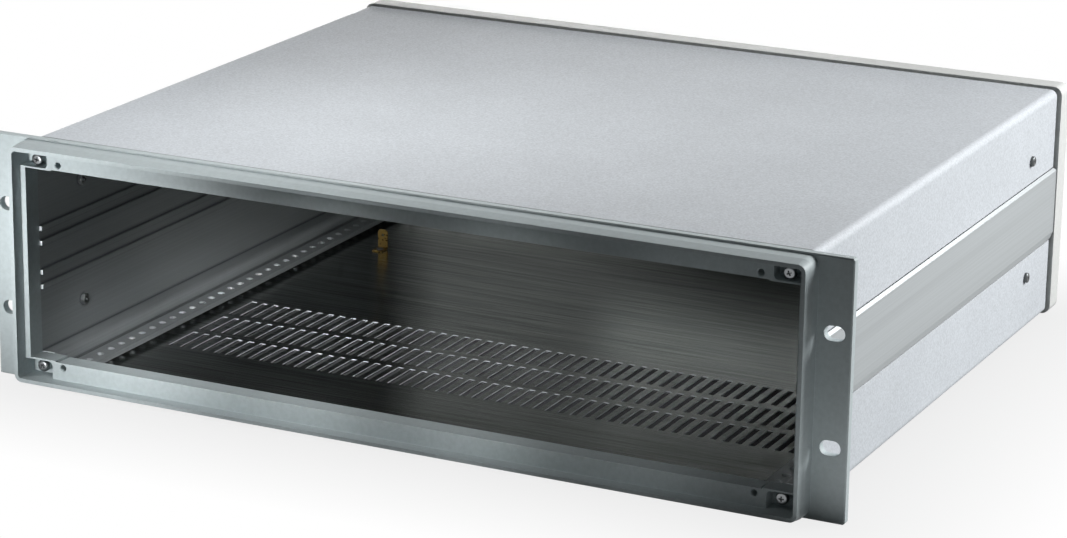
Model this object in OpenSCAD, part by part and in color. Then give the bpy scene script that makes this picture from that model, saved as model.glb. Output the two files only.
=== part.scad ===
// Rack mount case: a cast front frame with rack ears, two extruded side profiles,
// two folded covers, a rear frame with its panel, and the fasteners between them.
// X runs to the right, Y to the back and Z up. The origin is the middle of the base.

/* [Overall size] */
// Width over the rack ears
ear_span = 482.6; // [470:0.1:520]
// Height of the front flange and of the rear frame
case_h = 132.55; // [110:0.05:180]
// Depth from the front lip to the back of the rear frame
case_depth = 399.5; // [260:0.5:560]
// Width over the covers
body_w = 439.2; // [410:0.1:446]

/* [Front frame] */
// Thickness of the flange and its ears
flange_t = 4.5; // [3.5:0.1:6]
// Corner radius of the ears
ear_r = 1.5; // [1:0.1:4]
// Chamfer on the front edges of the ears
ear_chamfer = 0.6; // [0.3:0.1:1.2]
// How far the rim stands forward of the flange
rim_depth = 14; // [11:0.5:20]
// Wall of the rim at its root
rim_t = 3.2; // [2.8:0.1:4.2]
// Width of the front lip of the rim
lip_t = 2.1; // [1.4:0.1:2.6]
// Length of the bevel behind the lip
bevel_l = 7; // [3:0.5:9]
// Flange left showing above and below the rim
flange_margin = 1.1; // [0.8:0.1:3]
// Inner corner radius of the rim
opening_r = 2; // [1:0.1:4]
// Depth of the recess that takes the front panel
recess_depth = 7.5; // [5:0.5:9]
// Width of the panel ledge at the sides
ledge_w = 3.3; // [2.5:0.1:5]
// Height of the panel bars along the top and bottom
bar_h = 9.5; // [9:0.1:13]
// How much taller the bars are at their corner lugs
lug_step = 0.6; // [0.3:0.1:0.8]
// Wall between a corner lug's end and its pocket
lug_wall = 2.1; // [1.5:0.1:3]
// Width of the slit at the end of a lug
slit_w = 1.5; // [1:0.1:2]
// Depth of that slit into the bar
slit_h = 2; // [1:0.1:2.5]
// Skin left in front of the slit
slit_skin = 1.3; // [1:0.1:2]
// Wall of the hollow bars
bar_wall = 2.2; // [1.8:0.1:3]
// Length of the collar that carries the cover edges
collar_l = 7.5; // [6:0.5:12]
// Thickness of that collar
collar_t = 1.8; // [1.2:0.1:2]
// Clearance between the collar and the side profiles
collar_fit = 0.5; // [0.3:0.1:1]

/* [Rack slots] */
// Distance of the slots from the ends of the ears
slot_edge = 8.75; // [7.5:0.05:9.5]
// Slot spacing up the ears
slot_span_z = 57.15; // [31.75:0.05:76.2]
// Length of a slot from end to end
slot_l = 10.8; // [9:0.1:12]
// Width of a slot
slot_w = 7.6; // [6.4:0.1:8.4]

/* [Panel fixing] */
// Spacing of the panel holes across the case
panel_hole_span_x = 393.7; // [380:0.1:395]
// Distance of the panel holes from the top and bottom
panel_hole_inset = 11; // [10:0.1:11.4]
// Diameter of the panel holes
panel_hole_d = 3.3; // [2.5:0.1:3.5]
// Diameter of the countersunk mouth of the panel holes
panel_mouth_d = 4.4; // [3.8:0.1:5]
// Depth of the panel holes
panel_hole_l = 7; // [5:0.5:7.5]
// Thickness of the rear panel
panel_t = 2.5; // [1.5:0.1:3]
// Clearance round the rear panel
panel_fit = 0.3; // [0.2:0.05:0.8]
// Head diameter of the panel screws
panel_head_d = 6.6; // [5.5:0.1:7.5]
// Head height of the panel screws
panel_head_h = 2.4; // [1.6:0.1:2.8]
// Room left at the bottom of the holes under the panel screws
panel_hole_room = 1; // [0.5:0.1:2]

/* [Rear frame] */
// Depth of the rear bars
rear_bar_depth = 9; // [8:0.5:14]
// Depth of the recess that takes the rear panel
rear_recess = 7.5; // [6:0.5:12]
// How far the rear frame stands out beyond the cover sides
rear_proud = 2; // [1.2:0.1:4]
// Outer corner radius of the rear frame
rear_r = 5; // [3.5:0.1:7]
// Width of the lip round the rear panel
rear_lip_t = 2.2; // [1.4:0.1:2.6]

/* [Covers] */
// Sheet thickness of the covers
cover_t = 1.2; // [0.8:0.1:1.4]
// Outside bend radius of the covers
bend_r = 4; // [3:0.1:5]
// Step from the top of the flange down to the top cover
cover_drop = 1.15; // [0.8:0.05:2]
// Clearance between the covers and what they wrap round
cover_fit = 0.1; // [0.05:0.05:0.3]
// Gap between the flange and the front edge of the covers
front_gap = 4.5; // [2:0.5:5]
// Gap between the rear edge of the covers and the rear frame
rear_gap = 2.5; // [1:0.5:4]
// Gap between the cover edges and the side band
band_gap = 0.6; // [0.3:0.1:1.5]

/* [Vents] */
// Spacing of the vent slots across the floor
vent_pitch = 7.15; // [6:0.05:10]
// Width of a vent slot
vent_w = 3.4; // [2:0.1:4]
// Length of a vent slot
vent_l = 26; // [16:0.5:40]
// Spacing of the vent rows
vent_row_pitch = 31.8; // [30:0.1:50]
// Number of vent rows
vent_rows = 3; // [1:1:4]
// Distance of the first vent row from the flange
vent_from_front = 72.5; // [40:0.5:90]
// Plain floor kept between the vents and the feet of the side profiles
vent_margin = 5; // [4:0.5:20]

/* [Side profiles] */
// Wall thickness of the side profiles
wall_t = 1.3; // [1.1:0.1:1.8]
// Height of the outer band
band_h = 41.6; // [38:0.1:44]
// Step of the middle of the band below the middle of the case
band_drop = 0.6; // [0:0.1:2]
// How far the band stands out beyond the covers
band_proud = 1.5; // [0.8:0.1:1.9]
// Height of the small chamfer along the top of the band
band_top_chamfer = 1.5; // [0.5:0.1:3]
// Height of the bevel along the bottom of the band
band_low_bevel = 4.5; // [2:0.1:6]
// Height of the guide ribs
rib_h = 2.5; // [1.5:0.1:3.5]
// How far the guide ribs stand out of the wall
rib_proud = 1.7; // [1:0.1:2.5]
// Spacing of the two ribs of a pair
rib_pitch = 8; // [6:0.1:10]
// Spacing of the two pairs of ribs
rib_pair_pitch = 24; // [20:0.5:28]
// Radius of the round bead about a screw port
bead_r = 4.9; // [4.2:0.1:5.4]
// Height of the foot above the base
foot_top_z = 8; // [7.6:0.1:9]
// Thickness of the foot
foot_t = 2.7; // [2:0.1:3]
// How far the foot reaches in from the bead
foot_reach = 13.5; // [12:0.1:20]
// Width of the raised strip between the bead and the foot
foot_strip = 0.8; // [0.5:0.1:1.5]
// Height of that strip
foot_step = 0.5; // [0.2:0.1:0.8]
// Diameter of the holes in the foot
foot_hole_d = 4.4; // [3:0.1:5]
// Spacing of the holes in the foot
foot_hole_pitch = 10.43; // [8:0.01:15.24]
// Distance of the hole row from the inner edge of the foot
foot_hole_inset = 6.2; // [4:0.1:8]
// Distance of the first hole from the end of the profile
foot_hole_start = 5.9; // [4:0.1:12]

/* [Frame screws] */
// Distance of the screw ports from the outside of the side profiles
port_inset_x = 7.6; // [6.5:0.1:8.5]
// Distance of the screw ports from the top and bottom of the side profiles
port_inset_z = 7.35; // [7:0.05:7.6]
// Thread diameter of the frame screws
screw_d = 3.5; // [2.9:0.1:4]
// Head diameter of the frame screws
head_d = 6.6; // [5.6:0.1:6.8]
// Head height of the frame screws
head_h = 2.6; // [1.8:0.1:3]
// Length of the frame screws in their ports
screw_grip = 10; // [6:0.5:16]
// Depth of the screw seats below the faces of the bars
seat_depth = 3.8; // [3:0.1:5]
// Diameter of the bosses under the screw heads
boss_d = 6.4; // [5.4:0.1:6.6]
// Floor of the corner pockets
pocket_floor = 3; // [2:0.1:4]
// Reach of the corner pockets inwards from the screws
pocket_reach = 7.3; // [6:0.1:9]
// Corner radius of the pockets
pocket_r = 2.5; // [1:0.1:3]
// Clearance between the screw heads and the pockets
pocket_fit = 0.4; // [0.3:0.1:0.8]
// Clearance of a screw in its tapped hole
thread_fit = 0.05; // [0.02:0.01:0.1]
// Clearance of a screw in a plain hole
hole_fit = 0.25; // [0.15:0.05:0.4]

/* [Cover screws] */
// Height of the cover screws above and below the middle of the case
cover_screw_z = 33.5; // [30:0.5:38]
// Distance of the front cover screws from the flange
cover_screw_front = 40; // [25:0.5:70]
// Distance of the rear cover screws from the rear frame
cover_screw_rear = 42; // [25:0.5:70]
// Thread diameter of the cover screws
cover_screw_d = 2.9; // [2.5:0.1:3]
// Head diameter of the cover screws
cover_head_d = 5.8; // [5:0.1:7]
// Head height of the cover screws
cover_head_h = 2; // [1.4:0.1:2.4]
// Width of a cover nut across its flats
nut_flats = 5.5; // [5:0.1:7]
// Thickness of a cover nut
nut_t = 2.4; // [1.8:0.1:3]
// Thread that stands out of a cover nut
thread_out = 1; // [0.4:0.1:2]

/* [Earth tab] */
// Width of the tab
tab_w = 6.3; // [4.8:0.1:8]
// Thickness of the tab
tab_t = 0.8; // [0.5:0.1:1]
// Height of the tab above the floor
tab_h = 12; // [9:0.1:12]
// Length of the foot of the tab
tab_foot = 8; // [7:0.1:12]
// Inside bend radius of the tab
tab_bend = 0.8; // [0.4:0.1:1.5]
// Hole in the blade of the tab
tab_hole_d = 1.8; // [1.2:0.1:2.5]
// Distance of the tab from the foot of the left side profile
tab_from_foot = 23; // [12:0.5:60]
// Distance of the tab from the rear frame
tab_from_rear = 74; // [40:0.5:120]
// Shank diameter of the rivet
rivet_d = 2.4; // [2:0.1:3]
// Head diameter of the rivet
rivet_head_d = 4.4; // [3.6:0.1:5]
// Head height of the rivet
rivet_head_h = 1; // [0.6:0.1:1.4]

/* [Hidden] */
$fn = 48;
over = 1;
mid_z = case_h / 2;

// Depths along Y
lip_y = -case_depth / 2;
bar_face_y = lip_y + recess_depth;
flange_front_y = lip_y + rim_depth;
flange_back_y = flange_front_y + flange_t;
rear_y = case_depth / 2;
rear_bar_y = rear_y - rear_recess;
rear_front_y = rear_bar_y - rear_bar_depth;
cover_front_y = flange_back_y + front_gap;
cover_rear_y = rear_front_y - rear_gap;

// Covers and side profiles across X, and their lowest faces
cover_x = body_w / 2;
wall_out_x = cover_x - cover_t - cover_fit;
wall_in_x = wall_out_x - wall_t;
floor_z = cover_drop + cover_t;
profile_low_z = floor_z + cover_fit;
profile_corner_r = bend_r - cover_t - cover_fit;

// Openings of the two frames
window_x = wall_in_x;
opening_x = window_x + ledge_w;
opening_z = case_h / 2 - flange_margin - rim_t;
opening_low_z = mid_z - opening_z;
bar_edge_z = opening_low_z + bar_h;
rear_x = cover_x + rear_proud;
rear_opening_x = rear_x - rim_t;

// Outer band and guide ribs
band_low_z = mid_z - band_drop - band_h / 2;
band_top_z = band_low_z + band_h;
band_face_x = cover_x + band_proud;

// Screw ports, their beads and the feet
port_x = wall_out_x - port_inset_x;
port_z = profile_low_z + port_inset_z;
bead_x = port_x - bead_r;
bead_top_z = port_z + bead_r;
foot_in_x = bead_x - foot_reach;
port_d = screw_d + 2 * thread_fit;
port_plain_d = screw_d + 2 * hole_fit;

// Corner pockets, panel holes and hollow bars
pocket_top_z = port_z + head_d / 2 + pocket_fit;
pocket_in_x = port_x - pocket_reach;
lug_x = pocket_in_x - lug_wall;
panel_hole_x = panel_hole_span_x / 2;
panel_screw_d = panel_hole_d - 2 * thread_fit;
hollow_x = panel_hole_x - panel_hole_d - bar_wall;
collar_x = bead_x - collar_fit;
front_bar_depth = flange_back_y - bar_face_y;
slot_x = ear_span / 2 - slot_edge;

// Vent slots on each side of the middle
vent_side_cols = floor((foot_in_x - vent_margin) / vent_pitch);

// Places of the cover screws and of the earth tab
cover_screw_y = [flange_back_y + cover_screw_front, rear_front_y - cover_screw_rear];
nut_x = wall_in_x - nut_t;
tab_x = -(foot_in_x - tab_from_foot);
tab_y = rear_front_y - tab_from_rear;

// A flat outline in X and Z, carried along Y
module along_y(y0, y1) {
    translate([0, y1, 0]) rotate([90, 0, 0]) linear_extrude(y1 - y0) children();
}

// A feature and its mirror image in the other half of the height
module low_and_high() {
    children();
    translate([0, 0, case_h]) mirror([0, 0, 1]) children();
}

// A feature and its mirror image in the other half of the width
module both_sides() {
    children();
    mirror([1, 0, 0]) children();
}

// Rectangle with round corners, about the middle of the case
module round_rect(half_x, half_z, r) {
    translate([0, mid_z]) {
        square([2 * half_x, 2 * (half_z - r)], center = true);
        square([2 * (half_x - r), 2 * half_z], center = true);
        for (x = [-1, 1], z = [-1, 1]) {
            translate([x * (half_x - r), z * (half_z - r)]) circle(r);
        }
    }
}

// A section carried round a rectangle with round corners: x is counted outwards from the
// centres of the corners, y forwards
module round_loop(half_x, half_z) {
    translate([0, 0, mid_z]) rotate([90, 0, 0]) for (i = [0:3]) {
        across = i % 2 == 0 ? half_x : half_z;
        along = i % 2 == 0 ? half_z : half_x;
        rotate(90 * i) translate([across, along, 0]) {
            rotate([90, 0, 0]) linear_extrude(2 * along) children();
            rotate_extrude(angle = 90) children();
        }
    }
}

// Section of a rim with a bevelled lip
module rim_section(inner_r, depth, wall, lip, bevel) {
    polygon([
        [inner_r, 0], [inner_r, depth], [inner_r + lip, depth],
        [inner_r + wall, depth - bevel], [inner_r + wall, 0]
    ]);
}

// Opening between the panel bars, a little lower at the corner lugs
module window_outline() {
    half_z = mid_z - bar_edge_z;
    translate([0, mid_z]) {
        square([2 * lug_x, 2 * half_z], center = true);
        square([2 * window_x, 2 * (half_z - lug_step)], center = true);
    }
}

// Collar that carries a cover edge, from the face at y towards the middle of the case
module cover_collar(y0, y1) {
    translate([-collar_x, y0, profile_low_z]) cube([2 * collar_x, y1 - y0, collar_t]);
}

// Corner pocket of a bar with its face at y = 0, with the boss and the plain hole of the screw
module corner_pocket(depth, side_x, low_z) {
    floor_y = depth - pocket_floor;
    difference() {
        along_y(-over, floor_y) {
            translate([pocket_in_x, low_z]) square([side_x - pocket_in_x, pocket_top_z - pocket_r - low_z]);
            translate([pocket_in_x + pocket_r, low_z]) {
                square([side_x - pocket_in_x - pocket_r, pocket_top_z - low_z]);
            }
            translate([pocket_in_x + pocket_r, pocket_top_z - pocket_r]) circle(pocket_r);
        }
        along_y(seat_depth, floor_y + over) translate([port_x, port_z]) circle(d = boss_d);
    }
    along_y(-over, depth + over) translate([port_x, port_z]) circle(d = port_plain_d);
}

// Tapped panel hole with its countersunk mouth, in a bar with its face at y = 0
module panel_hole() {
    translate([panel_hole_x, 0, panel_hole_inset]) rotate([-90, 0, 0]) {
        translate([0, 0, -over]) cylinder(d = panel_hole_d, h = panel_hole_l + over);
        cylinder(d1 = panel_mouth_d, d2 = panel_hole_d, h = (panel_mouth_d - panel_hole_d) / 2);
    }
}

// Slit at the end of a corner lug, open to the window and the hidden face of the bar
module lug_slit(depth) {
    translate([lug_x - slit_w, slit_skin, bar_edge_z - slit_h]) {
        cube([slit_w, depth - slit_skin + over, slit_h + over]);
    }
}

// Hollow of a bar, cut from its hidden face
module bar_hollow(depth) {
    translate([-hollow_x, bar_wall, opening_low_z + bar_wall]) {
        cube([2 * hollow_x, depth - bar_wall + over, bar_h - 2 * bar_wall]);
    }
}

// All that is cut from the bars of a frame, with their faces at y = 0
module bar_cuts(depth, side_x, low_z) {
    along_y(-over, depth + over) window_outline();
    low_and_high() {
        both_sides() {
            corner_pocket(depth, side_x, low_z);
            panel_hole();
            lug_slit(depth);
        }
        bar_hollow(depth);
    }
}

// Chamfers round the front face of the ears
module ear_chamfers() {
    side = ear_chamfer * sqrt(2);
    for (x = [-1, 1]) {
        translate([x * ear_span / 2, flange_front_y, mid_z]) {
            rotate(45) cube([side, side, case_h + 2 * over], center = true);
        }
    }
    for (z = [0, case_h]) {
        translate([0, flange_front_y, z]) {
            rotate([45, 0, 0]) cube([ear_span + 2 * over, side, side], center = true);
        }
    }
}

// Rack slot, with its round ends to the left and right
module rack_slot() {
    run = slot_l - slot_w;
    along_y(flange_front_y - over, flange_back_y + over) {
        square([run, slot_w], center = true);
        for (x = [-1, 1]) translate([x * run / 2, 0]) circle(d = slot_w);
    }
}

module front_frame() color([0.72, 0.75, 0.75]) difference() {
    union() {
        along_y(flange_front_y, flange_back_y) round_rect(ear_span / 2, case_h / 2, ear_r);
        translate([0, flange_front_y, 0]) round_loop(opening_x - opening_r, opening_z - opening_r) {
            rim_section(opening_r, rim_depth, rim_t, lip_t, bevel_l);
        }
        along_y(bar_face_y, flange_front_y) round_rect(opening_x, opening_z, opening_r);
        low_and_high() cover_collar(flange_back_y, flange_back_y + collar_l);
    }
    translate([0, bar_face_y, 0]) bar_cuts(front_bar_depth, opening_x, opening_low_z);
    for (x = [-1, 1], z = [-1, 1]) {
        translate([x * slot_x, 0, mid_z + z * slot_span_z / 2]) rack_slot();
    }
    ear_chamfers();
}

module rear_frame() color([0.74, 0.76, 0.77]) difference() {
    inner_r = rear_r - rim_t;
    union() {
        translate([0, rear_front_y, 0]) mirror([0, 1, 0]) round_loop(rear_x - rear_r, case_h / 2 - rear_r) {
            rim_section(inner_r, rear_bar_depth + rear_recess, rim_t, rear_lip_t, rear_recess / 2);
        }
        along_y(rear_front_y, rear_bar_y) round_rect(rear_opening_x, case_h / 2 - rim_t, inner_r);
        low_and_high() cover_collar(rear_front_y - collar_l, rear_front_y);
    }
    translate([0, rear_bar_y, 0]) mirror([0, 1, 0]) bar_cuts(rear_bar_depth, rear_opening_x, rim_t);
}

// Folded sheet, open upwards, with its side edges at edge_z
module cover_section(edge_z) {
    translate([bend_r - cover_x, cover_drop]) square([2 * (cover_x - bend_r), cover_t]);
    both_sides() {
        translate([cover_x - cover_t, cover_drop + bend_r]) square([cover_t, edge_z - cover_drop - bend_r]);
        translate([cover_x - bend_r, cover_drop + bend_r]) intersection() {
            difference() {
                circle(bend_r);
                circle(bend_r - cover_t);
            }
            translate([0, -bend_r]) square(bend_r);
        }
    }
}

// Plain holes for the cover screws, through the side at x0 to x1
module cover_screw_holes(x0, x1, z) {
    for (y = cover_screw_y) {
        translate([x0, y, z]) rotate([0, 90, 0]) cylinder(d = cover_screw_d + 2 * hole_fit, h = x1 - x0);
    }
}

module vent_slots() {
    translate([0, 0, cover_drop - over]) linear_extrude(cover_t + 2 * over) {
        for (row = [0:vent_rows - 1], col = [-vent_side_cols:vent_side_cols - 1]) {
            x = (col + 0.5) * vent_pitch - vent_w / 2;
            y = flange_back_y + vent_from_front + row * vent_row_pitch;
            translate([x, y]) square([vent_w, vent_l]);
        }
    }
}

module top_cover() color([0.80, 0.82, 0.84]) difference() {
    translate([0, 0, case_h]) mirror([0, 0, 1]) {
        along_y(cover_front_y, cover_rear_y) cover_section(case_h - band_top_z - band_gap);
    }
    both_sides() cover_screw_holes(wall_out_x, cover_x + over, mid_z + cover_screw_z);
}

module bottom_cover() color([0.79, 0.81, 0.83]) difference() {
    along_y(cover_front_y, cover_rear_y) cover_section(band_low_z - band_gap);
    both_sides() cover_screw_holes(wall_out_x, cover_x + over, mid_z - cover_screw_z);
    vent_slots();
    translate([tab_x, tab_y - tab_foot / 2, cover_drop - over]) {
        cylinder(d = rivet_d + 2 * thread_fit, h = cover_t + 2 * over);
    }
}

// Lower corner of a side profile: the round bead about the screw port, and the foot
module corner_section() {
    difference() {
        union() {
            translate([bead_x, profile_low_z]) square([wall_out_x - bead_x, port_inset_z]);
            translate([port_x, profile_low_z]) square([port_inset_x, bead_top_z - profile_low_z]);
            translate([port_x, port_z]) circle(bead_r);
            translate([foot_in_x, foot_top_z - foot_t]) square([foot_reach, foot_t]);
            translate([bead_x - foot_strip, foot_top_z]) square([foot_strip, foot_step]);
        }
        translate([port_x, port_z]) circle(d = port_d);
        translate([wall_out_x - profile_corner_r, profile_low_z]) difference() {
            square(profile_corner_r);
            translate([0, profile_corner_r]) circle(profile_corner_r);
        }
    }
}

// Outer band with its chamfer above and bevel below
module band_section() {
    polygon([
        [wall_in_x, band_low_z], [cover_x, band_low_z], [band_face_x, band_low_z + band_low_bevel],
        [band_face_x, band_top_z - band_top_chamfer], [cover_x, band_top_z], [wall_in_x, band_top_z]
    ]);
}

module profile_section() {
    corner_section();
    translate([0, case_h]) mirror([0, 1]) corner_section();
    translate([wall_in_x, bead_top_z]) square([wall_t, case_h - 2 * bead_top_z]);
    band_section();
    for (pair = [-0.5, 0.5], rib = [-0.5, 0.5]) {
        z = mid_z + pair * rib_pair_pitch + rib * rib_pitch;
        translate([wall_in_x - rib_proud, z - rib_h / 2]) square([rib_proud, rib_h]);
    }
}

// Row of holes along a foot
module foot_holes() {
    last = rear_front_y - flange_back_y - 2 * foot_hole_start;
    for (n = [0:floor(last / foot_hole_pitch)]) {
        y = flange_back_y + foot_hole_start + n * foot_hole_pitch;
        translate([foot_in_x + foot_hole_inset, y, foot_top_z - foot_t - over]) {
            cylinder(d = foot_hole_d, h = foot_t + 2 * over);
        }
    }
}

module side_profile() color([0.66, 0.68, 0.69]) difference() {
    along_y(flange_back_y, rear_front_y) profile_section();
    low_and_high() foot_holes();
    for (z = [-1, 1]) cover_screw_holes(wall_in_x - over, wall_out_x + over, mid_z + z * cover_screw_z);
}

module side_profile_right() side_profile();
module side_profile_left() mirror([1, 0, 0]) side_profile();

module rear_panel() color([0.62, 0.62, 0.60]) difference() {
    inner_r = rear_r - rim_t;
    along_y(rear_bar_y, rear_bar_y + panel_t) {
        round_rect(rear_opening_x - panel_fit, case_h / 2 - rim_t - panel_fit, inner_r);
    }
    low_and_high() both_sides() along_y(rear_bar_y - over, rear_bar_y + panel_t + over) {
        translate([panel_hole_x, panel_hole_inset]) circle(d = panel_screw_d + 2 * hole_fit);
    }
}

// Pan head screw with a cross recess: the head sits on z = 0 and the shank points down
module pan_screw(thread, width, height, length) {
    recess_l = 0.6 * width;
    recess_w = 0.14 * width;
    difference() {
        union() {
            rotate_extrude() polygon([
                [0, 0], [width / 2, 0], [width / 2, 0.45 * height], [0.36 * width, 0.9 * height],
                [0.25 * width, height], [0, height]
            ]);
            translate([0, 0, -length]) cylinder(d = thread, h = length);
        }
        for (turn = [45, 135]) rotate(turn) {
            translate([-recess_l / 2, -recess_w / 2, 0.45 * height]) cube([recess_l, recess_w, height]);
        }
    }
}

// The two frame screws of the right side, with their seats at y and a bar of this depth
module frame_screws(y, facing, depth) {
    low_and_high() translate([port_x, y, port_z]) rotate([facing * 90, 0, 0]) {
        pan_screw(screw_d, head_d, head_h, depth - seat_depth + screw_grip);
    }
}

module front_frame_screws_right() color("gainsboro") frame_screws(bar_face_y + seat_depth, 1, front_bar_depth);
module front_frame_screws_left() mirror([1, 0, 0]) front_frame_screws_right();
module rear_frame_screws_right() color("gainsboro") frame_screws(rear_bar_y - seat_depth, -1, rear_bar_depth);
module rear_frame_screws_left() mirror([1, 0, 0]) rear_frame_screws_right();

module rear_panel_screws() color("gainsboro") low_and_high() both_sides() {
    translate([panel_hole_x, rear_bar_y + panel_t, panel_hole_inset]) rotate([-90, 0, 0]) {
        pan_screw(panel_screw_d, panel_head_d, panel_head_h, panel_t + panel_hole_l - panel_hole_room);
    }
}

// The two cover screws of the right side at height z, heads on the cover
module cover_screws(z) {
    for (y = cover_screw_y) translate([cover_x, y, z]) rotate([0, 90, 0]) {
        pan_screw(cover_screw_d, cover_head_d, cover_head_h, cover_x - nut_x + thread_out);
    }
}

// The two nuts of the right side at height z, on the inner face of the wall
module cover_nuts(z) {
    for (y = cover_screw_y) translate([nut_x, y, z]) rotate([0, 90, 0]) difference() {
        cylinder(d = nut_flats / cos(30), h = nut_t, $fn = 6);
        translate([0, 0, -over]) cylinder(d = cover_screw_d + 2 * thread_fit, h = nut_t + 2 * over);
    }
}

module top_cover_screws_right() color("dimgray") cover_screws(mid_z + cover_screw_z);
module top_cover_screws_left() mirror([1, 0, 0]) top_cover_screws_right();
module bottom_cover_screws_right() color("dimgray") cover_screws(mid_z - cover_screw_z);
module bottom_cover_screws_left() mirror([1, 0, 0]) bottom_cover_screws_right();
module top_cover_nuts_right() color("silver") cover_nuts(mid_z + cover_screw_z);
module top_cover_nuts_left() mirror([1, 0, 0]) top_cover_nuts_right();
module bottom_cover_nuts_right() color("silver") cover_nuts(mid_z - cover_screw_z);
module bottom_cover_nuts_left() mirror([1, 0, 0]) bottom_cover_nuts_right();

// Side view of the tab: the foot, the bend and the blade
module tab_section() {
    bend_out = tab_bend + tab_t;
    translate([-tab_foot, 0]) square([tab_foot - bend_out, tab_t]);
    translate([-tab_t, bend_out]) square([tab_t, tab_h - bend_out]);
    translate([-bend_out, bend_out]) intersection() {
        difference() {
            circle(bend_out);
            circle(tab_bend);
        }
        translate([0, -bend_out]) square(bend_out);
    }
}

module earth_tab() color([0.78, 0.62, 0.28]) translate([tab_x, tab_y, floor_z]) difference() {
    corner = 0.2 * tab_w;
    rotate([90, 0, 90]) linear_extrude(tab_w, center = true) tab_section();
    translate([0, over, 0.72 * tab_h]) rotate([90, 0, 0]) cylinder(d = tab_hole_d, h = tab_t + 2 * over);
    translate([0, -tab_foot / 2, -over]) cylinder(d = rivet_d + 2 * thread_fit, h = tab_t + 2 * over);
    for (x = [-1, 1]) translate([x * tab_w / 2, 0, tab_h]) {
        rotate([0, 45, 0]) cube([corner * sqrt(2), 4 * tab_t, corner * sqrt(2)], center = true);
    }
}

module earth_tab_rivet() color([0.75, 0.76, 0.78]) {
    seat_z = floor_z + tab_t;
    translate([tab_x, tab_y - tab_foot / 2, 0]) {
        translate([0, 0, cover_drop]) cylinder(d = rivet_d, h = seat_z - cover_drop);
        translate([0, 0, seat_z]) rotate_extrude() polygon([
            [0, 0], [rivet_head_d / 2, 0], [0.42 * rivet_head_d, 0.6 * rivet_head_h],
            [0.24 * rivet_head_d, rivet_head_h], [0, rivet_head_h]
        ]);
    }
}

front_frame();
rear_frame();
top_cover();
bottom_cover();
side_profile_left();
side_profile_right();
rear_panel();
front_frame_screws_left();
front_frame_screws_right();
rear_frame_screws_left();
rear_frame_screws_right();
rear_panel_screws();
top_cover_screws_left();
top_cover_screws_right();
bottom_cover_screws_left();
bottom_cover_screws_right();
top_cover_nuts_left();
top_cover_nuts_right();
bottom_cover_nuts_left();
bottom_cover_nuts_right();
earth_tab();
earth_tab_rivet();
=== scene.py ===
"""Rack mount case: the finishes of its sheets, castings, profiles and fasteners, and a small studio."""

import math

import bpy
from bpy.props import FloatProperty, FloatVectorProperty, PointerProperty
from mathutils import Matrix, Vector


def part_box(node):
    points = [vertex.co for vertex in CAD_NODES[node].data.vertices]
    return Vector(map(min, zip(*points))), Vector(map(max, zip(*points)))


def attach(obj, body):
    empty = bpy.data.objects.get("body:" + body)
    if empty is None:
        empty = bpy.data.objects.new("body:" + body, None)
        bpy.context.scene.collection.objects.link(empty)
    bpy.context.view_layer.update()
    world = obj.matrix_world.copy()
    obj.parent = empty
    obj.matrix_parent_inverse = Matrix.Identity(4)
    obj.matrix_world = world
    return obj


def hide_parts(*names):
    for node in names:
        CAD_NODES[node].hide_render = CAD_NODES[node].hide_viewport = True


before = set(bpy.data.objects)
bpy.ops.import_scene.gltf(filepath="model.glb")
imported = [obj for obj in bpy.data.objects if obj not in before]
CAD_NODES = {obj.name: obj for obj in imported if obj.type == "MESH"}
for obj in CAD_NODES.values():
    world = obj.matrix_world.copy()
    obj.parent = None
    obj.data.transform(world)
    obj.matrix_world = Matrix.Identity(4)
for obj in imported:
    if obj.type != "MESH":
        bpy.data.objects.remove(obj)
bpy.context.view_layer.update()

bl_info = {
    "name": "Rack mount case",
    "version": (1, 0, 0),
    "blender": (4, 5, 0),
    "location": "View3D > Sidebar > Rack case",
    "description": "Gives the packed rack mount case its finishes and a studio",
    "category": "Object",
}

MM = 0.001

# The box round the two covers, from the frame
COVER_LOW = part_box("bottom_cover")[0]
COVER_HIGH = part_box("top_cover")[1]
COVER_MID_Z = (COVER_LOW.z + COVER_HIGH.z) / 2
COVER_HALF_X = COVER_HIGH.x
COVER_HALF_Z = COVER_HIGH.z - COVER_MID_Z
# Outer bend radius and thickness of the covers' sheet, as the part's source has them
SHEET_BEND = 4 * MM
SHEET_THICKNESS = 1.2 * MM
# How far overspray of the coat reaches down the walls of the vent slots, from the inside
SLOT_LIP = 0.6 * MM
# Depth from the outer face within which a wall still counts as coated
COAT_DEPTH = 0.1 * MM

# Sizes of the marks: soft clouds in the powder coat, die lines along the profiles, painted shade
# in the profiles' inner corners, and dull patches on plated metal
CLOUD_SIZE = 60 * MM
DIE_LENGTH = 400 * MM
CORNER_SHADE_REACH = 2.5 * MM
PATCH_SIZE = 1.5 * MM
# How deep the finishes are: brush lines, stipple, orange peel and die lines
BRUSH_DEPTH = 0.04 * MM
STIPPLE_DEPTH = 0.08 * MM
PEEL_DEPTH = 0.10 * MM
DIE_DEPTH = 0.04 * MM
# Radius of the edges that extruding and plating leave
PROFILE_EDGE = 0.2 * MM
PLATED_EDGE = 0.15 * MM

# The photograph's frame, and the camera without shift that shows the slots and corners of the case
# nearest to their places in it
PHOTO_SIZE = (1067, 538)
FOCAL_PIXELS = 3515.3
CAMERA_PLACE = (794.8 * MM, -1660.8 * MM, 601.1 * MM)
CAMERA_AZIMUTH = 26.02
CAMERA_ELEVATION = 16.86
CAMERA_ROLL = 0.78
SENSOR_WIDTH = 36

# Side of the floor, in metres
FLOOR_SIZE = 16
# Distance from the sides of the covers to the dark floor under the case
SHADE_INSET = 6 * MM
# Distance from the case at which its shadow has faded into the white of the floor; nearer, the floor's glow
# is dimmed, which paints part of that shadow
SHADOW_REACH = 120 * MM

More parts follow.
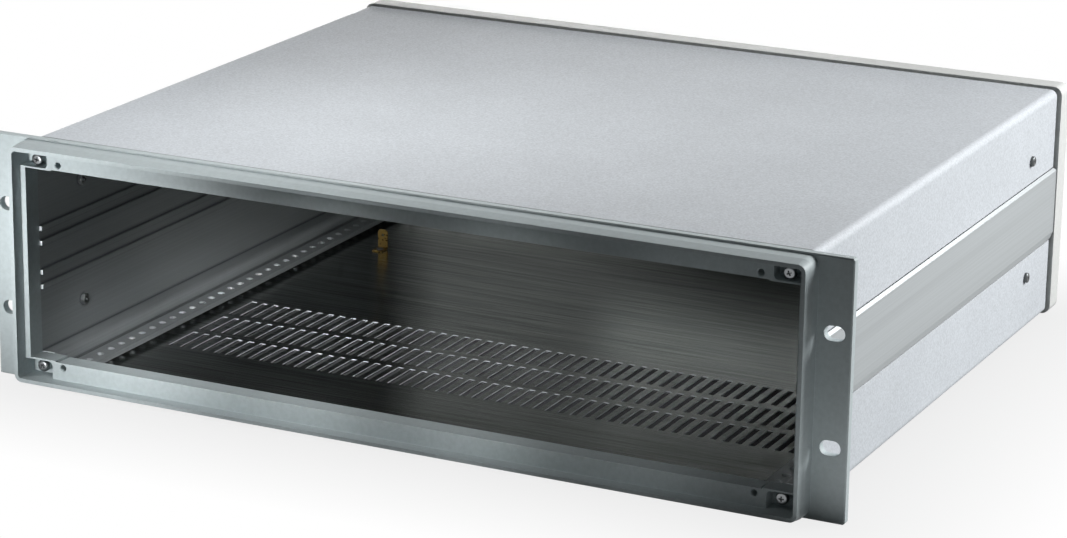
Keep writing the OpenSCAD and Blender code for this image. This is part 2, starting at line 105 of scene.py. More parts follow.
# Where the lamps on the vents are aimed across the case, and their power as a share of the first one's
VENT_LAMPS = ((-105 * MM, 1.0), (-10 * MM, 0.75), (85 * MM, 0.25))

# Axis and sign of the side that a fastener points to
LEFT = (0, -1)
RIGHT = (0, 1)
FRONT = (1, -1)
BACK = (1, 1)
# Sides of a round form, steps in one turn of a thread, and degrees from one fastener's turn to the next
ROUND_SIDES = 32
THREAD_STEPS = 24
SCREW_TURN = 25
# Half the angle from one corner of a nut to the next
HALF_HEX = math.radians(30)
# Places in a node's box that are nearer to each other than this count as one
ONE_PLACE = 1 * MM
# Decimals of a metre to which the lengths of screws are compared
LENGTH_DECIMALS = 5
# Distance under which the corners of a carved mesh are merged
SLIVER = 0.005 * MM


def linear(hex_colour):
    """Linear red, green and blue of an sRGB hex colour."""
    values = [int(hex_colour[i:i + 2], 16) / 255 for i in (1, 3, 5)]
    return tuple(v / 12.92 if v <= 0.04045 else ((v + 0.055) / 1.055) ** 2.4 for v in values)


def shade(colour, factor):
    """The colour made lighter or darker, as a socket's four numbers."""
    return (*(min(1.0, part * factor) for part in colour), 1.0)


def add(tree, kind, sockets=None, stops=None, **settings):
    """Adds one node with its settings, its sockets' values and links, and a ramp's stops.

    Sockets go by name, or by number where several share a name.
    """
    made = tree.nodes.new(kind)
    for name, value in settings.items():
        setattr(made, name, value)
    for index, (place, colour) in enumerate(stops or []):
        elements = made.color_ramp.elements
        stop = elements[index] if index < 2 else elements.new(place)
        stop.position = place
        stop.color = colour
    for name, value in (sockets or {}).items():
        socket = made.inputs[name]
        if isinstance(value, bpy.types.NodeSocket):
            tree.links.new(value, socket)
        else:
            socket.default_value = value
    return made


def new_material(name):
    """An empty node material and its tree."""
    material = bpy.data.materials.new(name)
    material.use_nodes = True
    material.node_tree.nodes.clear()
    return material, material.node_tree


def close(tree, shader):
    """Links a shader to the material's output."""
    add(tree, "ShaderNodeOutputMaterial", {"Surface": shader})


def dress(material, slot, *names):
    """Gives the CAD nodes a material. The slot is not used."""
    for name in names:
        node = CAD_NODES[name]
        node.data.materials.clear()
        node.data.materials.append(material)


class RACKCASE_PG_coat(bpy.types.PropertyGroup):
    """Powder coat of the covers and paint of the castings."""

    sheet_colour: FloatVectorProperty(
        name="Sheet coat", description="Colour of the powder coat on the covers",
        subtype="COLOR", size=3, min=0, max=1, default=linear("#C5CACF"))
    cast_colour: FloatVectorProperty(
        name="Front casting paint", description="Colour of the paint on the front frame",
        subtype="COLOR", size=3, min=0, max=1, default=linear("#B2BCBE"))
    # Painted light: the rear frame's paint is a paler copy of the front frame's, standing in for the
    # stronger light on it
    rear_colour_with_painted_light: FloatVectorProperty(
        name="Rear casting paint", description="Colour of the paint on the rear frame",
        subtype="COLOR", size=3, min=0, max=1, default=linear("#D2D4D2"))
    stipple: FloatProperty(
        name="Stipple", description="Size of one grain of the powder coat's stipple",
        subtype="DISTANCE", unit="LENGTH", min=0.2 * MM, max=4 * MM, default=1.1 * MM)
    peel: FloatProperty(
        name="Orange peel", description="Size of the soft waves in the paint of the castings",
        subtype="DISTANCE", unit="LENGTH", min=0.5 * MM, max=10 * MM, default=2.2 * MM)
    edge_break: FloatProperty(
        name="Edge break", description="Radius to which the coated edges are broken",
        subtype="DISTANCE", unit="LENGTH", min=0.05 * MM, max=1 * MM, default=0.35 * MM)


class RACKCASE_PG_metal(bpy.types.PropertyGroup):
    """Bare, anodised and plated metals."""

    sheet_colour: FloatVectorProperty(
        name="Bare sheet", description="Colour of the uncoated inside of the covers",
        subtype="COLOR", size=3, min=0, max=1, default=linear("#A4A7A5"))
    panel_colour: FloatVectorProperty(
        name="Rear panel", description="Colour of the brushed rear panel",
        subtype="COLOR", size=3, min=0, max=1, default=linear("#8D908F"))
    profile_colour: FloatVectorProperty(
        name="Anodised profile", description="Colour of the anodised side profiles",
        subtype="COLOR", size=3, min=0, max=1, default=linear("#A6ABAD"))
    zinc_colour: FloatVectorProperty(
        name="Zinc plate", description="Colour of the bright screws and of the rivet",
        subtype="COLOR", size=3, min=0, max=1, default=linear("#7F8284"))
    # Painted shade: the cover screws' zinc plate is a darker copy of the nuts' plate
    zinc_colour_in_painted_shade: FloatVectorProperty(
        name="Dark plate", description="Colour of the cover screws",
        subtype="COLOR", size=3, min=0, max=1, default=linear("#5C5F60"))
    nut_colour: FloatVectorProperty(
        name="Nut plate", description="Colour of the cover screws' nuts",
        subtype="COLOR", size=3, min=0, max=1, default=linear("#A9ACAD"))
    brass_colour: FloatVectorProperty(
        name="Brass", description="Colour of the earth tab",
        subtype="COLOR", size=3, min=0, max=1, default=linear("#8C7442"))
    brush_width: FloatProperty(
        name="Brush lines", description="Width of one line on the brushed metal",
        subtype="DISTANCE", unit="LENGTH", min=0.1 * MM, max=3 * MM, default=0.9 * MM)
    brush_length: FloatProperty(
        name="Brush length", description="Length of one line on the brushed metal",
        subtype="DISTANCE", unit="LENGTH", min=5 * MM, max=300 * MM, default=70 * MM)
    die_width: FloatProperty(
        name="Die lines", description="Width of one die line along the side profiles",
        subtype="DISTANCE", unit="LENGTH", min=0.1 * MM, max=3 * MM, default=0.6 * MM)


class RACKCASE_PG_fasteners(bpy.types.PropertyGroup):
    """Screws and nuts. Their lengths and places come from the frame."""

    frame_thread: FloatProperty(
        name="Frame screw thread", description="Outer diameter of the frame screws' thread",
        subtype="DISTANCE", unit="LENGTH", min=2 * MM, max=6 * MM, default=3.5 * MM)
    frame_head: FloatProperty(
        name="Frame screw head", description="Diameter of the frame screws' heads",
        subtype="DISTANCE", unit="LENGTH", min=3 * MM, max=12 * MM, default=6.6 * MM)
    frame_height: FloatProperty(
        name="Frame screw height", description="Height of the frame screws' heads",
        subtype="DISTANCE", unit="LENGTH", min=1 * MM, max=6 * MM, default=2.6 * MM)
    panel_thread: FloatProperty(
        name="Panel screw thread", description="Outer diameter of the rear panel screws' thread",
        subtype="DISTANCE", unit="LENGTH", min=2 * MM, max=6 * MM, default=3.2 * MM)
    panel_head: FloatProperty(
        name="Panel screw head", description="Diameter of the rear panel screws' heads",
        subtype="DISTANCE", unit="LENGTH", min=3 * MM, max=12 * MM, default=6.6 * MM)
    panel_height: FloatProperty(
        name="Panel screw height", description="Height of the rear panel screws' heads",
        subtype="DISTANCE", unit="LENGTH", min=1 * MM, max=6 * MM, default=2.4 * MM)
    cover_thread: FloatProperty(
        name="Cover screw thread", description="Outer diameter of the cover screws' thread",
        subtype="DISTANCE", unit="LENGTH", min=2 * MM, max=6 * MM, default=2.9 * MM)
    cover_head: FloatProperty(
        name="Cover screw head", description="Diameter of the cover screws' heads",
        subtype="DISTANCE", unit="LENGTH", min=3 * MM, max=12 * MM, default=5.8 * MM)
    cover_height: FloatProperty(
        name="Cover screw height", description="Height of the cover screws' heads",
        subtype="DISTANCE", unit="LENGTH", min=1 * MM, max=6 * MM, default=2.0 * MM)
    nut_bore: FloatProperty(
        name="Nut bore", description="Diameter of the hole through the nuts",
        subtype="DISTANCE", unit="LENGTH", min=2 * MM, max=6 * MM, default=3.0 * MM)


class RACKCASE_PG_stage(bpy.types.PropertyGroup):
    """Floor, lamps and backdrop."""

    floor_colour: FloatVectorProperty(
        name="Floor", description="Colour of the floor in the shade, and as it lights the case",
        subtype="COLOR", size=3, min=0, max=1, default=linear("#737576"))
    room_level: FloatProperty(
        name="Room light", description="Strength of the light from all around",
        subtype="FACTOR", min=0, max=2, default=0.02)
    right_power: FloatProperty(
        name="Right lamp", description="Power of the soft lamp on the right",
        subtype="POWER", unit="POWER", min=0, max=200, default=5.1)
    left_power: FloatProperty(
        name="Left lamp", description="Power of the gridded lamp at the left of the front",
        subtype="POWER", unit="POWER", min=0, max=200, default=0.098)
    top_power: FloatProperty(
        name="Top lamp", description="Power of the gridded lamp over the front",
        subtype="POWER", unit="POWER", min=0, max=200, default=0.18)
    wall_power: FloatProperty(
        name="Wall lamp", description="Power of the gridded lamp on the left wall inside",
        subtype="POWER", unit="POWER", min=0, max=200, default=0.018)
    corner_power: FloatProperty(
        name="Corner lamp", description="Power of the gridded lamp on the lower left corner inside",
        subtype="POWER", unit="POWER", min=0, max=200, default=0.007)
    panel_power: FloatProperty(
        name="Panel lamp", description="Power of the gridded lamp on the rear panel inside",
        subtype="POWER", unit="POWER", min=0, max=200, default=0.044)
    vent_power: FloatProperty(
        name="Vent lamps", description="Power of the gridded lamp on the left end of the vents",
        subtype="POWER", unit="POWER", min=0, max=200, default=0.028)
    bounce_power: FloatProperty(
        name="Bounce light", description="Power that the white floor throws up in front of the case",
        subtype="POWER", unit="POWER", min=0, max=200, default=0.032)
    fill_power: FloatProperty(
        name="Fill lamps", description="Power of each low lamp, on the left side and on the back",
        subtype="POWER", unit="POWER", min=0, max=200, default=0.7)


def brushed_sheet(tree, metal, colour, groove_tone, roughness, anisotropic, metallic):
    """Shader of brushed aluminium sheet: fine lines along X smear its reflections."""
    place = add(tree, "ShaderNodeTexCoord").outputs["Object"]
    # The lines are drawn several times as wide as real ones, so that they show
    lines = add(tree, "ShaderNodeMapping", {
        "Vector": place,
        "Scale": (1 / metal.brush_length, 1 / metal.brush_width, 1 / metal.brush_width)})
    streaks = add(tree, "ShaderNodeTexNoise", {
        "Vector": lines.outputs["Vector"], "Scale": 1.0, "Detail": 3.0, "Roughness": 0.6})
    tone = add(tree, "ShaderNodeValToRGB", {"Fac": streaks.outputs["Fac"]}, stops=[
        (0.37, shade(colour, groove_tone)), (0.63, shade(colour, 1.15))])
    gloss = add(tree, "ShaderNodeMapRange", {
        "Value": streaks.outputs["Fac"], "From Min": 0.3, "From Max": 0.7,
        "To Min": roughness * 0.85, "To Max": roughness * 1.15})
    groove = add(tree, "ShaderNodeBump", {
        "Height": streaks.outputs["Fac"], "Strength": 0.25, "Distance": BRUSH_DEPTH})
    # The lines scatter light across themselves, so the highlight runs square to X
    facing = add(tree, "ShaderNodeNewGeometry").outputs["Normal"]
    across = add(tree, "ShaderNodeVectorMath", {0: facing, 1: (1, 0, 0)}, operation="CROSS_PRODUCT")
    return add(tree, "ShaderNodeBsdfPrincipled", {
        "Base Color": tone.outputs["Color"], "Metallic": metallic, "Roughness": gloss.outputs["Result"],
        "Anisotropic": anisotropic, "Tangent": across.outputs["Vector"],
        "Normal": groove.outputs["Normal"]}).outputs["BSDF"]


def powder_coated_sheet(coat, metal):
    """Aluminium sheet, powder coated outside, where a stipple breaks up its gloss, and bare inside."""
    material, tree = new_material("powder_coated_sheet")
    place = add(tree, "ShaderNodeTexCoord").outputs["Object"]
    # The stipple is drawn about twice as coarse as the real one, so that it shows
    grain = add(tree, "ShaderNodeTexNoise", {
        "Vector": place, "Scale": 1 / coat.stipple, "Detail": 2.0, "Roughness": 0.65})
    clouds = add(tree, "ShaderNodeTexNoise", {"Vector": place, "Scale": 1 / CLOUD_SIZE, "Detail": 2.0})
    speckle = add(tree, "ShaderNodeValToRGB", {"Fac": grain.outputs["Fac"]}, stops=[
        (0.34, shade(coat.sheet_colour, 0.87)), (0.66, shade(coat.sheet_colour, 1.10))])
    uneven = add(tree, "ShaderNodeMapRange", {
        "Value": clouds.outputs["Fac"], "From Min": 0.3, "From Max": 0.7, "To Min": 0.97, "To Max": 1.03})
    tone = add(tree, "ShaderNodeVectorMath", {
        "Vector": speckle.outputs["Color"], "Scale": uneven.outputs["Result"]}, operation="SCALE")
    soft_edge = add(tree, "ShaderNodeBevel", {"Radius": coat.edge_break}, samples=4)
    bumps = add(tree, "ShaderNodeBump", {
        "Height": grain.outputs["Fac"], "Normal": soft_edge.outputs["Normal"],
        "Strength": 0.30, "Distance": STIPPLE_DEPTH})
    outside = add(tree, "ShaderNodeBsdfPrincipled", {
        "Base Color": tone.outputs["Vector"], "Roughness": 0.58, "IOR": 1.35,
        "Normal": bumps.outputs["Normal"]})
    # Distance from a core inside the bends, endless along Y, tells the two faces of the folded sheet apart
    middle = add(tree, "ShaderNodeVectorMath", {0: place, 1: (0, 0, COVER_MID_Z)}, operation="SUBTRACT")
    folded = add(tree, "ShaderNodeVectorMath", {0: middle.outputs["Vector"]}, operation="ABSOLUTE")
    endless = 10
    core = (COVER_HALF_X - SHEET_BEND, endless, COVER_HALF_Z - SHEET_BEND)
    beyond = add(tree, "ShaderNodeVectorMath", {0: folded.outputs["Vector"], 1: core}, operation="SUBTRACT")
    clamped = add(tree, "ShaderNodeVectorMath", {
        0: beyond.outputs["Vector"], 1: (0, 0, 0)}, operation="MAXIMUM")
    reach = add(tree, "ShaderNodeVectorMath", {0: clamped.outputs["Vector"]}, operation="LENGTH")
    inner = add(tree, "ShaderNodeMath", {
        0: reach.outputs["Value"], 1: SHEET_BEND - SHEET_THICKNESS / 2}, operation="LESS_THAN")
    # Overspray covers the lips of the vent slots, and the rest of their walls is bare
    normal = add(tree, "ShaderNodeNewGeometry").outputs["True Normal"]
    upright = add(tree, "ShaderNodeSeparateXYZ", {0: normal}).outputs["Z"]
    tilt = add(tree, "ShaderNodeMath", {0: upright}, operation="ABSOLUTE")
    level = add(tree, "ShaderNodeMath", {0: tilt.outputs["Value"], 1: 0.5}, operation="GREATER_THAN")
    below_lip = add(tree, "ShaderNodeMath", {
        0: reach.outputs["Value"], 1: SHEET_BEND - SHEET_THICKNESS + SLOT_LIP}, operation="GREATER_THAN")
    above_coat = add(tree, "ShaderNodeMath", {
        0: reach.outputs["Value"], 1: SHEET_BEND - COAT_DEPTH}, operation="LESS_THAN")
    wall = add(tree, "ShaderNodeMath", {
        0: below_lip.outputs["Value"], 1: above_coat.outputs["Value"]}, operation="MULTIPLY")
    bare = add(tree, "ShaderNodeMix", {
        "Factor": level.outputs["Value"], 2: wall.outputs["Value"], 3: inner.outputs["Value"]})
    inside = brushed_sheet(tree, metal, metal.sheet_colour, groove_tone=0.40, roughness=0.20,
                           anisotropic=0.75, metallic=1.0)
    both = add(tree, "ShaderNodeMixShader", {
        0: bare.outputs[0], 1: outside.outputs["BSDF"], 2: inside})
    close(tree, both.outputs["Shader"])
    return material


def painted_casting(name, colour, coat):
    """Die cast aluminium under a satin paint: soft waves in the gloss, and edges drawn pale as a painted
    highlight.
    """
    material, tree = new_material(name)
    place = add(tree, "ShaderNodeTexCoord").outputs["Object"]
    waves = add(tree, "ShaderNodeTexNoise", {
        "Vector": place, "Scale": 1 / coat.peel, "Detail": 2.0, "Roughness": 0.5})
    soft_edge = add(tree, "ShaderNodeBevel", {"Radius": coat.edge_break}, samples=6)
    flat = add(tree, "ShaderNodeNewGeometry")
    along = add(tree, "ShaderNodeVectorMath", {
        0: soft_edge.outputs["Normal"], 1: flat.outputs["Normal"]}, operation="DOT_PRODUCT")
    # Painted highlight: where the rounded normal leaves the flat one, the edge is drawn paler as if it
    # caught the light
    edge = add(tree, "ShaderNodeMapRange", {
        "Value": along.outputs["Value"], "From Min": 0.985, "From Max": 0.90,
        "To Min": 0.0, "To Max": 0.55})
    tone = add(tree, "ShaderNodeValToRGB", {"Fac": waves.outputs["Fac"]}, stops=[
        (0.35, shade(colour, 0.95)), (0.65, shade(colour, 1.03))])
    tone_with_painted_edge_highlight = add(tree, "ShaderNodeMix", {
        "Factor": edge.outputs["Result"], 6: tone.outputs["Color"], 7: shade(colour, 1.45)},
        data_type="RGBA")
    gloss = add(tree, "ShaderNodeMapRange", {
        "Value": waves.outputs["Fac"], "From Min": 0.3, "From Max": 0.7, "To Min": 0.42, "To Max": 0.52})
    peel = add(tree, "ShaderNodeBump", {
        "Height": waves.outputs["Fac"], "Normal": soft_edge.outputs["Normal"],
        "Strength": 0.12, "Distance": PEEL_DEPTH})
    paint = add(tree, "ShaderNodeBsdfPrincipled", {
        "Base Color": tone_with_painted_edge_highlight.outputs[2], "Roughness": gloss.outputs["Result"], "IOR": 1.3,
        "Normal": peel.outputs["Normal"]})
    close(tree, paint.outputs["BSDF"])
    return material


def anodised_profile(metal):
    """Extruded aluminium, etched and anodised: satin, with faint die lines along its length."""
    material, tree = new_material("anodised_aluminium_profile")
    place = add(tree, "ShaderNodeTexCoord").outputs["Object"]
    # The die lines are drawn wider than real ones, so that they show
    lines = add(tree, "ShaderNodeMapping", {
        "Vector": place, "Scale": (1 / metal.die_width, 1 / DIE_LENGTH, 1 / metal.die_width)})
    streaks = add(tree, "ShaderNodeTexNoise", {
        "Vector": lines.outputs["Vector"], "Scale": 1.0, "Detail": 2.0, "Roughness": 0.5})
    tone = add(tree, "ShaderNodeValToRGB", {"Fac": streaks.outputs["Fac"]}, stops=[
        (0.32, shade(metal.profile_colour, 0.90)), (0.68, shade(metal.profile_colour, 1.05))])
    gloss = add(tree, "ShaderNodeMapRange", {
        "Value": streaks.outputs["Fac"], "From Min": 0.3, "From Max": 0.7, "To Min": 0.46, "To Max": 0.56})
    # Painted shade: ambient occlusion draws the inner corners of the ribs darker
    open_sky = add(tree, "ShaderNodeAmbientOcclusion", {"Distance": CORNER_SHADE_REACH}, samples=8)
    corner = add(tree, "ShaderNodeMapRange", {
        "Value": open_sky.outputs["AO"], "From Min": 0.45, "From Max": 0.90,
        "To Min": 0.30, "To Max": 1.0})
    # Painted highlight: faces that point to the front, which on the profile are the cut ends and the walls
    # of the holes, are drawn brighter as if lit from the front
    normal = add(tree, "ShaderNodeNewGeometry").outputs["True Normal"]
    along = add(tree, "ShaderNodeSeparateXYZ", {0: normal}).outputs["Y"]
    painted_front_highlight = add(tree, "ShaderNodeMapRange", {
        "Value": along, "From Min": -0.2, "From Max": -0.4, "To Min": 0.0, "To Max": 1.6})
    painted_shade_and_highlight = add(tree, "ShaderNodeMath", {
        0: corner.outputs["Result"], 1: painted_front_highlight.outputs["Result"]}, operation="MAXIMUM")
    tone_with_painted_light = add(tree, "ShaderNodeVectorMath", {
        "Vector": tone.outputs["Color"], "Scale": painted_shade_and_highlight.outputs["Value"]}, operation="SCALE")
    soft_edge = add(tree, "ShaderNodeBevel", {"Radius": PROFILE_EDGE}, samples=4)
    scored = add(tree, "ShaderNodeBump", {
        "Height": streaks.outputs["Fac"], "Normal": soft_edge.outputs["Normal"],
        "Strength": 0.15, "Distance": DIE_DEPTH})
    skin = add(tree, "ShaderNodeBsdfPrincipled", {
        "Base Color": tone_with_painted_light.outputs["Vector"], "Metallic": 0.45, "Roughness": gloss.outputs["Result"],
        "Normal": scored.outputs["Normal"]})
    close(tree, skin.outputs["BSDF"])
    return material


def brushed_panel(metal):
    """Flat aluminium panel, brushed across and clear anodised, which dulls it."""
    material, tree = new_material("brushed_aluminium_panel")
    close(tree, brushed_sheet(tree, metal, metal.panel_colour, groove_tone=0.80, roughness=0.50,
                              anisotropic=0.0, metallic=0.4))
    return material


def plated_metal(name, colour, roughness):
    """Plated or bare metal of small parts: clean reflections, dulled in small patches by handling."""
    material, tree = new_material(name)
    place = add(tree, "ShaderNodeTexCoord").outputs["Object"]
    patches = add(tree, "ShaderNodeTexNoise", {"Vector": place, "Scale": 1 / PATCH_SIZE, "Detail": 3.0})
    tone = add(tree, "ShaderNodeValToRGB", {"Fac": patches.outputs["Fac"]}, stops=[
        (0.30, shade(colour, 0.92)), (0.70, shade(colour, 1.04))])
    gloss = add(tree, "ShaderNodeMapRange", {
        "Value": patches.outputs["Fac"], "From Min": 0.3, "From Max": 0.7,
        "To Min": roughness * 0.9, "To Max": roughness * 1.2})
    soft_edge = add(tree, "ShaderNodeBevel", {"Radius": PLATED_EDGE}, samples=4)
    metal = add(tree, "ShaderNodeBsdfPrincipled", {
        "Base Color": tone.outputs["Color"], "Metallic": 1.0, "Roughness": gloss.outputs["Result"],
        "Normal": soft_edge.outputs["Normal"]})
    close(tree, metal.outputs["BSDF"])
    return material


class RACKCASE_OT_covers(bpy.types.Operator):
    """Powder coats the two folded covers and leaves their insides bare"""

    bl_idname = "rackcase.covers"
    bl_label = "Coat the covers"

    def execute(self, context):
        scene = context.scene
        dress(powder_coated_sheet(scene.rackcase_coat, scene.rackcase_metal), "coated_sheet",
              "top_cover", "bottom_cover")
        return {"FINISHED"}


class RACKCASE_OT_frames(bpy.types.Operator):
    """Paints the cast front and rear frames"""

    bl_idname = "rackcase.frames"
    bl_label = "Paint the frames"

    def execute(self, context):
        coat = context.scene.rackcase_coat
        front = painted_casting("painted_die_casting", coat.cast_colour, coat)
        dress(front, "cast_frame", "front_frame")
        # The rear frame gets the paler copy of the paint, as painted light
        rear = painted_casting("painted_die_casting_in_painted_light", coat.rear_colour_with_painted_light, coat)
        dress(rear, "cast_frame", "rear_frame")
        return {"FINISHED"}


class RACKCASE_OT_profiles(bpy.types.Operator):
    """Anodises the two side profiles"""

    bl_idname = "rackcase.profiles"
    bl_label = "Anodise the profiles"

    def execute(self, context):
        dress(anodised_profile(context.scene.rackcase_metal), "extrusion",
              "side_profile_left", "side_profile_right")
        return {"FINISHED"}


class RACKCASE_OT_rear_panel(bpy.types.Operator):
    """Brushes the rear panel"""

    bl_idname = "rackcase.rear_panel"
    bl_label = "Brush the rear panel"

    def execute(self, context):
        dress(brushed_panel(context.scene.rackcase_metal), "panel_sheet", "rear_panel")
        return {"FINISHED"}


def pick(piece, kind, test):
    """Opens a piece in edit mode with only the edges or faces selected whose middle passes a test."""
    bpy.ops.object.mode_set(mode="EDIT")
    bpy.ops.mesh.select_mode(type=kind)
    bpy.ops.mesh.select_all(action="DESELECT")
    bpy.ops.object.mode_set(mode="OBJECT")
    mesh = piece.data
    for part in (mesh.edges if kind == "EDGE" else mesh.polygons):
        corners = [mesh.vertices[index].co for index in part.vertices]
        part.select = test(sum(corners, Vector()) / len(corners))
    bpy.ops.object.mode_set(mode="EDIT")


def begin(add_primitive, **settings):
    """Adds a primitive with nothing else selected, and puts its place into its mesh."""
    bpy.ops.object.select_all(action="DESELECT")
    add_primitive(**settings)
    bpy.ops.object.transform_apply(location=True, rotation=True, scale=True)
    return bpy.context.active_object


def carve(piece, tool, operation):
    """Joins, cuts or trims a piece with a tool, and takes the tool away."""
    bpy.ops.object.select_all(action="DESELECT")
    piece.select_set(True)
    bpy.context.view_layer.objects.active = piece
    cut = piece.modifiers.new("carve", "BOOLEAN")
    cut.operation = operation
    cut.solver = "EXACT"
    cut.object = tool
    bpy.ops.object.modifier_apply(modifier=cut.name)
    bpy.data.meshes.remove(tool.data)
    # The cut leaves slivers along its line, which are merged away
    bpy.ops.object.mode_set(mode="EDIT")
    bpy.ops.mesh.select_all(action="SELECT")
    bpy.ops.mesh.remove_doubles(threshold=SLIVER)
    bpy.ops.mesh.dissolve_degenerate(threshold=SLIVER / 2)
    bpy.ops.object.mode_set(mode="OBJECT")


def thread_ridge(thread, pitch, low, high):
    """The ridge of a thread: a small triangle swept round Z from one height to another."""
    # The triangle's base lies under the core's surface, so that the two join
    size = 0.5 * pitch
    outward = Matrix.Rotation(math.radians(90), 4, "X") @ Matrix.Rotation(math.radians(-90), 4, "Z")
    ridge = begin(bpy.ops.mesh.primitive_circle_add, vertices=3, radius=size, fill_type="NOTHING",
                  location=(thread / 2 - size, 0, low), rotation=outward.to_euler())
    sweep = ridge.modifiers.new("sweep", "SCREW")
    sweep.screw_offset = pitch
    sweep.iterations = int((high - low) / pitch)
    sweep.steps = sweep.render_steps = THREAD_STEPS
    bpy.ops.object.modifier_apply(modifier=sweep.name)
    bpy.ops.object.mode_set(mode="EDIT")
    bpy.ops.mesh.select_all(action="SELECT")
    bpy.ops.mesh.fill_holes(sides=3)
    bpy.ops.mesh.select_all(action="SELECT")
    bpy.ops.mesh.normals_make_consistent(inside=False)
    bpy.ops.object.mode_set(mode="OBJECT")
    return ridge


def cross_tool(head, height):
    """The form of a tapered cross recess, from inside the head to above it."""
    deep = 0.40 * height
    width = 0.16 * head
    arm = 0.22 * head
    taper = 0.45
    tool = begin(bpy.ops.mesh.primitive_cube_add, size=width, location=(0, 0, deep + width / 2))
    pick(tool, "FACE", lambda middle: abs(middle.z - deep - width / 2) < width / 4)
    bpy.ops.mesh.extrude_faces_move(TRANSFORM_OT_shrink_fatten={"value": arm})
    pick(tool, "FACE", lambda middle: middle.z > deep + 0.9 * width)
    bpy.ops.transform.translate(value=(0, 0, height))
    pick(tool, "FACE", lambda middle: middle.z < deep + 0.1 * width)
    bpy.ops.transform.resize(value=(taper, taper, 1), center_override=(0, 0, deep))
    bpy.ops.object.mode_set(mode="OBJECT")
    return tool


def pan_screw(thread, head, height, length):
    """One screw, head up, with its seat at the origin: rounded pan, cross recess and thread."""
    pitch = 0.3 * thread
    core = thread / 2 - 0.6 * pitch
    rounding = 0.55 * height
    point = 0.4 * core
    screw = begin(bpy.ops.mesh.primitive_cylinder_add, vertices=ROUND_SIDES, radius=head / 2, depth=height,
                  location=(0, 0, height / 2))
    pick(screw, "EDGE", lambda middle: middle.z > 0.99 * height)
    bpy.ops.mesh.bevel(offset=rounding, segments=5, affect="EDGES")
    pick(screw, "FACE", lambda middle: middle.z < 0.01 * height)
    bpy.ops.mesh.inset(thickness=head / 2 - core)
    bpy.ops.mesh.extrude_region_move(TRANSFORM_OT_translate={"value": (0, 0, -length)})
    pick(screw, "EDGE", lambda middle: middle.z < -0.99 * length)
    bpy.ops.mesh.bevel(offset=point, segments=2, affect="EDGES")
    bpy.ops.object.mode_set(mode="OBJECT")
    carve(screw, cross_tool(head, height), "DIFFERENCE")
    carve(screw, thread_ridge(thread, pitch, pitch - length, -pitch), "UNION")
    bpy.ops.object.shade_smooth_by_angle(angle=math.radians(35))
    return screw


def hex_nut(flats, thickness, bore):
    """One nut from the origin up: corners turned down to a chamfer, and a countersunk hole."""
    corner = flats / 2 / math.cos(HALF_HEX)
    chamfer = 0.16 * corner
    countersink = 0.06 * bore
    # The turned form stands a little proud, so that only its chamfers cut
    proud = 1.02
    nut = begin(bpy.ops.mesh.primitive_cylinder_add, vertices=6, radius=corner, depth=thickness,
                location=(0, 0, thickness / 2))
    turned = begin(bpy.ops.mesh.primitive_cylinder_add, vertices=2 * ROUND_SIDES, radius=proud * corner,
                   depth=proud * thickness, location=(0, 0, thickness / 2))
    pick(turned, "EDGE", lambda middle: abs(middle.z - thickness / 2) > 0.5 * thickness)
    bpy.ops.mesh.bevel(offset=chamfer, segments=1, affect="EDGES")
    bpy.ops.object.mode_set(mode="OBJECT")
    carve(nut, turned, "INTERSECT")
    hole = begin(bpy.ops.mesh.primitive_cylinder_add, vertices=ROUND_SIDES, radius=bore / 2,
                 depth=2 * thickness, location=(0, 0, thickness / 2))
    carve(nut, hole, "DIFFERENCE")
    pick(nut, "EDGE", lambda middle: abs(middle.z - thickness / 2) > 0.49 * thickness
         and middle.to_2d().length < 0.51 * bore)
    bpy.ops.mesh.bevel(offset=countersink, segments=1, affect="EDGES")
    bpy.ops.object.mode_set(mode="OBJECT")
    bpy.ops.object.shade_smooth_by_angle(angle=math.radians(25))
    return nut


def copy_to_corners(pattern, name, node, facing, seat, width, material):
    """Copies a fastener to the corners of a node's box, as one piece that stands for the node.

    The pattern's origin goes to the seat, a place along the facing's axis. Its width is along X, Y and Z.
    """
    axis, side = facing
    low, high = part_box(node)
    across = [index for index in range(3) if index != axis]
    ends = []
    for index in across:
        first = low[index] + width[index] / 2
        last = high[index] - width[index] / 2
        ends.append((first, last) if last - first > ONE_PLACE else ((first + last) / 2,))
    outward = Vector((0, 0, 0))
    outward[axis] = side
    turn = outward.to_track_quat("Z", "Y").to_matrix().to_4x4()
    copies = []
    for first in ends[0]:
        for second in ends[1]:
            place = Vector((0, 0, 0))
            place[axis] = seat
            place[across[0]] = first
            place[across[1]] = second
            copy = bpy.data.objects.new(node, pattern.data.copy())
            bpy.context.scene.collection.objects.link(copy)
            # Nodes start at one of three turns, by the length of their name, so that few crosses line up
            twist = Matrix.Rotation(math.radians(SCREW_TURN) * (len(copies) + len(node) % 3), 4, "Z")
            copy.matrix_world = Matrix.Translation(place) @ turn @ twist
            copies.append(copy)
    bpy.ops.object.select_all(action="DESELECT")
    for copy in copies:
        copy.select_set(True)
    bpy.context.view_layer.objects.active = copies[0]
    bpy.ops.object.transform_apply(location=True, rotation=True, scale=True)
    bpy.ops.object.join()
    piece = bpy.context.active_object
    piece.name = name
    piece.data.materials.clear()
    piece.data.materials.append(material)
    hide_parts(node)
    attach(piece, "root")


def place_screws(nodes, thread, head, height, material):
    """Models a screw once for each length that the nodes need, and copies it to their places."""
    patterns = {}
    for node, facing in nodes.items():
        axis, side = facing
        low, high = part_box(node)
        length = round(high[axis] - low[axis] - height, LENGTH_DECIMALS)
        if length not in patterns:
            patterns[length] = pan_screw(thread, head, height, length)
        seat = high[axis] - height if side > 0 else low[axis] + height
        copy_to_corners(patterns[length], f"threaded_{node}", node, facing, seat, (head, head, head),
                        material)
    for pattern in patterns.values():
        bpy.data.meshes.remove(pattern.data)


